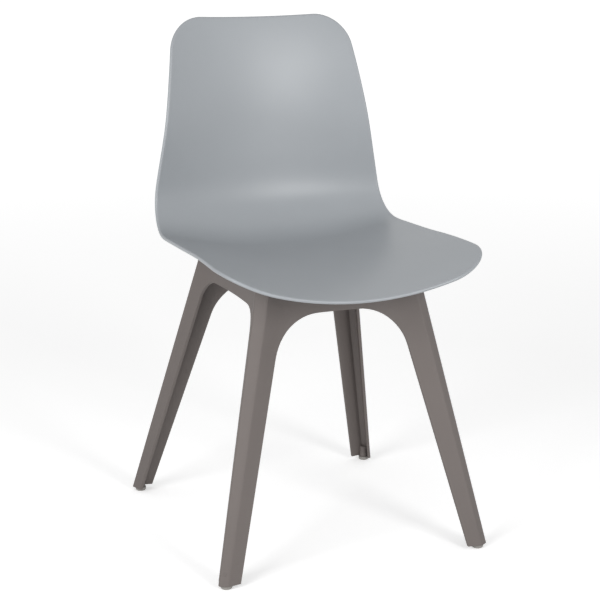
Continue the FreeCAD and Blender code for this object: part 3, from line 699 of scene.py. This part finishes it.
def deckPlate():
    # The plate's edge follows the frame's outline, bowed like the walls, and bites into them.
    # Seven rings go round its section: over the top, down the lip, up it and out underneath.
    z = np.array([deck["top"] - deck["wall"] / 2])
    corners = frameCorners(z, legFrame["wall"] - deck["bite"])[0]
    t = np.linspace(0, 1, deck["sidePoints"], endpoint=False)[:, None]
    path = []
    for index in range(16):
        start, end = corners[index], corners[(index + 1) % 16]
        run = start * (1 - t) + end * t
        if index % 4 == 3:
            way = (end - start) / np.linalg.norm(end - start)
            run = run + np.array([-way[1], way[0]]) * legFrame["bow"] * (1 - (2 * t - 1) ** 2)
        path.append(run)
    (halfX, halfY), radius, lipWall = deck["opening"], deck["openingRadius"], deck["ribWall"]
    count = deck["openingPoints"]
    opening = roundedRectangle(halfX, halfY, radius, count)
    lip = roundedRectangle(halfX + lipWall, halfY + lipWall, radius + lipWall, count)
    outer = atAngles(np.concatenate(path), np.arctan2(opening[:, 1], opening[:, 0]))
    top, under = deck["top"], deck["top"] - deck["wall"]
    low = under - deck["lip"]
    rings = [(outer, top), (opening, top), (opening, low), (lip, low), (lip, under), (outer, under),
             (outer, top)]
    grid = np.stack([np.concatenate([flat, np.full((len(flat), 1), height)], axis=1)
                     for flat, height in rings])
    return [np.concatenate([grid, grid[:, :1]], axis=1)]


def deckRibs():
    # two straight ribs on each side, from the opening's lip into the wall
    under = deck["top"] - deck["wall"]
    top, low = under + deck["overlap"], under - deck["lip"]
    middle = np.array([under - deck["lip"] / 2])
    half = deck["ribWall"] / 2
    grids = []
    for wall in walls:
        axis = wall["axis"]
        for place in (-deck["ribPlace"], deck["ribPlace"]):
            near = deck["opening"][1 - axis] + deck["overlap"]
            outside = abs(float(plainWall(np.array([place]), middle, wall, 0.0)[0]))
            far = outside - legFrame["wall"] / 2
            left, right = place - half, place + half
            section = [(left, low), (right, low), (right, top), (left, top)]
            ends = []
            for reach in (near, far):
                cross = wall["side"] * reach
                end = [(q, cross, z) if axis == 0 else (cross, q, z) for q, z in section]
                ends.append(np.array(end))
            tube = np.stack(ends)
            grids.append(np.concatenate([tube, tube[:, :1]], axis=1))
            grids += [np.array([[end[0], end[1]], [end[3], end[2]]]) for end in ends]
    return grids


def footBosses():
    # round bosses that hold the glides' stems, with a broken edge at the top
    radius, bevel = deck["bossRadius"], deck["bossBevel"]
    low, top = legFrame["footLevel"], deck["bossTop"]
    profile = [(0.0, low), (radius, low), (radius, top - bevel), (radius - bevel, top), (0.0, top)]
    return [turnedPost(x, y, profile, deck["bossSides"]) for x, y in deck["glides"]]


def makeFrame():
    # every part of the moulding in one mesh, with its edges rounded
    points, faces = [], []
    joinGrids(frameWalls() + deckPlate() + deckRibs() + footBosses(), points, faces)
    points, faces = np.concatenate(points), np.concatenate(faces)
    piece = addPiece("legFrameMoulding", points, faces, merge=0.000002)
    return bevelEdges(piece, legFrame["edgeRadius"])


legFrameMoulding = makeFrame()
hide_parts("leg_frame")
print("leg frame made", len(legFrameMoulding.data.polygons))


# Materials

def addNode(tree, kind, settings=None, links=None):
    # one node with its settings and its incoming links
    node = tree.nodes.new(kind)
    for name, value in (settings or {}).items():
        if isinstance(name, str) and hasattr(node, name):
            setattr(node, name, value)
        else:
            node.inputs[name].default_value = value
    for name, source in (links or {}).items():
        tree.links.new(source, node.inputs[name])
    return node


def newMaterial(name):
    # empty material with its output and the object's own coordinates
    material = bpy.data.materials.new(name)
    material.use_nodes = True
    tree = material.node_tree
    tree.nodes.clear()
    output = tree.nodes.new("ShaderNodeOutputMaterial")
    coordinates = tree.nodes.new("ShaderNodeTexCoord")
    return material, tree, output, coordinates.outputs["Object"]


# Polypropylene, injection moulded in a spark-eroded mould: an even blue-grey skin whose satin
# sheen spreads every lamp into a soft patch. The real grain of about 0.15 mm is too fine to
# show, so it is drawn at 1.2 mm.
shellFinish = {
    "name": "satinPolypropyleneBlueGrey",
    "colour": "#979b9f",
    "roughness": 0.37,
    "grainSize": 0.0012,
    "grainDepth": 0.00004,
    "mottle": 0.015,
}

# Polypropylene stiffened with glass fibre, injection moulded: a matt warm grey with hardly any
# sheen. Its grain of about 0.25 mm is drawn at 1.6 mm.
frameFinish = {
    "name": "mattPolypropyleneTaupe",
    "colour": "#665f5c",
    "roughness": 0.62,
    "grainSize": 0.0016,
    "grainDepth": 0.00006,
    "mottle": 0.02,
}

# Nylon, injection moulded: a plain middle grey, a little smoother than the legs.
glideFinish = {
    "name": "mouldedNylonGrey",
    "colour": "#8d8a86",
    "roughness": 0.5,
    "grainSize": 0.0016,
    "grainDepth": 0.00004,
    "mottle": 0.02,
}

# Steel, zinc plated: a cool bright metal with blurred reflections. Tool marks of about 0.2 mm
# are drawn at 0.8 mm.
screwFinish = {
    "name": "zincPlatedSteel",
    "colour": "#c4c6c8",
    "roughness": 0.32,
    "markSize": 0.0008,
}

# Brass, turned: a warm yellow metal whose turning marks of about 0.2 mm, drawn at 0.8 mm too,
# break up its shine.
insertFinish = {
    "name": "turnedBrass",
    "colour": "#c9a55c",
    "roughness": 0.3,
    "markSize": 0.0008,
}


def mouldedPlastic(finish):
    # clouds about 110 mm across (1 / cloudScale) vary the colour by the mottle, and the fine
    # grain moves the normal and the roughness
    cloudScale, roughnessSpread, bumpStrength = 9.0, 0.03, 0.25
    material, tree, output, place = newMaterial(finish["name"])
    cloud = addNode(tree, "ShaderNodeTexNoise", {"Scale": cloudScale, "Detail": 3.0},
                    {"Vector": place})
    tint = addNode(tree, "ShaderNodeValToRGB", None, {"Fac": cloud.outputs["Fac"]})
    stops = ((0.3, 1 - finish["mottle"]), (0.7, 1 + finish["mottle"]))
    for stop, (position, share) in zip(tint.color_ramp.elements, stops):
        stop.position = position
        stop.color = [channel * share for channel in linearColour(finish["colour"])[:3]] + [1.0]
    grain = addNode(tree, "ShaderNodeTexNoise", {"Scale": 1 / finish["grainSize"], "Detail": 2.0},
                    {"Vector": place})
    bump = addNode(tree, "ShaderNodeBump",
                   {"Strength": bumpStrength, "Distance": finish["grainDepth"]},
                   {"Height": grain.outputs["Fac"]})
    rough = addNode(tree, "ShaderNodeMapRange",
                    {"To Min": finish["roughness"] - roughnessSpread,
                     "To Max": finish["roughness"] + roughnessSpread},
                    {"Value": grain.outputs["Fac"]})
    plastic = addNode(tree, "ShaderNodeBsdfPrincipled", {"IOR": 1.49},
                      {"Base Color": tint.outputs["Color"], "Roughness": rough.outputs["Result"],
                       "Normal": bump.outputs["Normal"]})
    tree.links.new(plastic.outputs["BSDF"], output.inputs["Surface"])
    return material


def plainMetal(finish):
    # turned or plated metal whose fine tool marks vary the roughness
    below, above = 0.06, 0.08
    material, tree, output, place = newMaterial(finish["name"])
    marks = addNode(tree, "ShaderNodeTexNoise", {"Scale": 1 / finish["markSize"], "Detail": 3.0},
                    {"Vector": place})
    rough = addNode(tree, "ShaderNodeMapRange",
                    {"To Min": finish["roughness"] - below, "To Max": finish["roughness"] + above},
                    {"Value": marks.outputs["Fac"]})
    metal = addNode(tree, "ShaderNodeBsdfPrincipled",
                    {"Metallic": 1.0, "Base Color": linearColour(finish["colour"])},
                    {"Roughness": rough.outputs["Result"]})
    tree.links.new(metal.outputs["BSDF"], output.inputs["Surface"])
    return material


def dressNode(name, material):
    # gives a CAD node's object its one material
    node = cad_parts[name]
    node.data.materials.clear()
    node.data.materials.append(material)


seatShell.data.materials.append(mouldedPlastic(shellFinish))
legFrameMoulding.data.materials.append(mouldedPlastic(frameFinish))
glidePlastic = mouldedPlastic(glideFinish)
zincSteel = plainMetal(screwFinish)
turnedBrass = plainMetal(insertFinish)

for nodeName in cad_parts:
    if nodeName.startswith("glide_"):
        dressNode(nodeName, glidePlastic)
    elif nodeName.startswith(("screw_", "washer_")):
        dressNode(nodeName, zincSteel)
    elif nodeName.startswith("insert_"):
        dressNode(nodeName, turnedBrass)
print("materials made")


# Studio: white floor and backdrop for the camera, two soft lamps

studio = {
    "floorHalf": 40.0,
    "floorColour": "#f6f6f6",
    # glow that only the camera sees: near strength, far strength, and the radii between them
    "floorGlow": (0.37, 0.62, 1.2, 5.0),
    "worldLight": 0.5,
    "lamps": [
        # name, place, looks at, size x, size y, watts
        ("leftSoftbox", (-2.306, -1.331, 1.415), (0.0, 0.0, 0.55), 1.3, 1.3, 38.0),
        ("rightStrip", (0.64, -2.70, 1.25), (0.0, 0.0, 0.60), 0.7, 1.35, 31.0),
    ],
}


def seenRays(tree):
    # 1 for rays from the camera and for those that shiny and clear things send on
    rays = addNode(tree, "ShaderNodeLightPath")
    either = addNode(tree, "ShaderNodeMath", {"operation": "MAXIMUM"},
                     {0: rays.outputs["Is Glossy Ray"], 1: rays.outputs["Is Transmission Ray"]})
    seen = addNode(tree, "ShaderNodeMath", {"operation": "MAXIMUM"},
                   {0: rays.outputs["Is Camera Ray"], 1: either.outputs["Value"]})
    return seen.outputs["Value"]


def mixBySight(tree, output, unseen, seen):
    # the first shader lights the object, the second is what the camera sees
    mix = addNode(tree, "ShaderNodeMixShader", None, {0: seenRays(tree), 1: unseen, 2: seen})
    tree.links.new(mix.outputs["Shader"], output.inputs["Surface"])


def makeFloor():
    # matt paper, lifted a little for the camera alone, so that it is white and keeps the shadow
    half = studio["floorHalf"]
    mesh = bpy.data.meshes.new("studioFloor")
    corners = [(-half, -half, 0), (half, -half, 0), (half, half, 0), (-half, half, 0)]
    mesh.from_pydata(corners, [], [(0, 1, 2, 3)])
    floor = bpy.data.objects.new("studioFloor", mesh)
    bpy.context.collection.objects.link(floor)
    near, far, inside, outside = studio["floorGlow"]
    material, tree, output, place = newMaterial("mattWhitePaper")
    matt = addNode(tree, "ShaderNodeBsdfDiffuse", {"Color": linearColour(studio["floorColour"])})
    radius = addNode(tree, "ShaderNodeVectorMath", {"operation": "LENGTH"}, {0: place})
    strength = addNode(tree, "ShaderNodeMapRange",
                       {"From Min": inside, "From Max": outside, "To Min": near, "To Max": far},
                       {"Value": radius.outputs["Value"]})
    glow = addNode(tree, "ShaderNodeEmission", {"Color": (1, 1, 1, 1)},
                   {"Strength": strength.outputs["Result"]})
    both = addNode(tree, "ShaderNodeAddShader", None,
                   {0: matt.outputs["BSDF"], 1: glow.outputs["Emission"]})
    mixBySight(tree, output, matt.outputs["BSDF"], both.outputs["Shader"])
    mesh.materials.append(material)


def makeWorld():
    # even light all round, and plain white where it is seen
    world = bpy.data.worlds.new("studioWorld")
    world.use_nodes = True
    tree = world.node_tree
    tree.nodes.clear()
    output = tree.nodes.new("ShaderNodeOutputWorld")
    light = addNode(tree, "ShaderNodeBackground",
                    {"Color": (1, 1, 1, 1), "Strength": studio["worldLight"]})
    white = addNode(tree, "ShaderNodeBackground", {"Color": (1, 1, 1, 1), "Strength": 1.0})
    mixBySight(tree, output, light.outputs["Background"], white.outputs["Background"])
    bpy.context.scene.world = world


def lookingMatrix(place, target):
    # rotation whose -Z axis points from the place to the target, with +Y as near up as it can be
    back = (Vector(place) - Vector(target)).normalized()
    turn = back.to_track_quat("Z", "Y").to_matrix().to_4x4()
    turn.translation = Vector(place)
    return turn


def placeLamp(name, place, target, sizeX, sizeY, watts):
    # rectangular soft lamp that looks at the target
    lamp = bpy.data.lights.new(name, "AREA")
    lamp.shape = "RECTANGLE"
    lamp.size = sizeX
    lamp.size_y = sizeY
    lamp.energy = watts
    thing = bpy.data.objects.new(name, lamp)
    bpy.context.collection.objects.link(thing)
    thing.matrix_world = lookingMatrix(place, target)


makeFloor()
makeWorld()
for lampSettings in studio["lamps"]:
    placeLamp(*lampSettings)

# The photograph's camera: it looks at the target from that side, height and distance
view = {
    "azimuth": math.radians(-22.0),
    "elevation": math.radians(13.5),
    "distance": 2.603,
    "target": (0.0, 0.0012, 0.400),
    "lens": 96.28,
    "sensorWidth": 36,
    "shiftX": -0.00725,
    "shiftY": -0.02067,
    "clipEnd": 50,
}


def makeCamera():
    # place = target + distance x (sin a x cos e, -cos a x cos e, sin e)
    camera = bpy.data.cameras.new("photoCamera")
    camera.lens = view["lens"]
    camera.sensor_width = view["sensorWidth"]
    camera.shift_x = view["shiftX"]
    camera.shift_y = view["shiftY"]
    camera.clip_end = view["clipEnd"]
    thing = bpy.data.objects.new("photoCamera", camera)
    bpy.context.collection.objects.link(thing)
    azimuth, elevation = view["azimuth"], view["elevation"]
    level = math.cos(elevation)
    back = (math.sin(azimuth) * level, -math.cos(azimuth) * level, math.sin(elevation))
    place = [view["target"][k] + view["distance"] * back[k] for k in range(3)]
    thing.matrix_world = lookingMatrix(place, view["target"])
    bpy.context.scene.camera = thing


makeCamera()
bpy.context.scene.view_settings.view_transform = "Standard"
print("studio made")
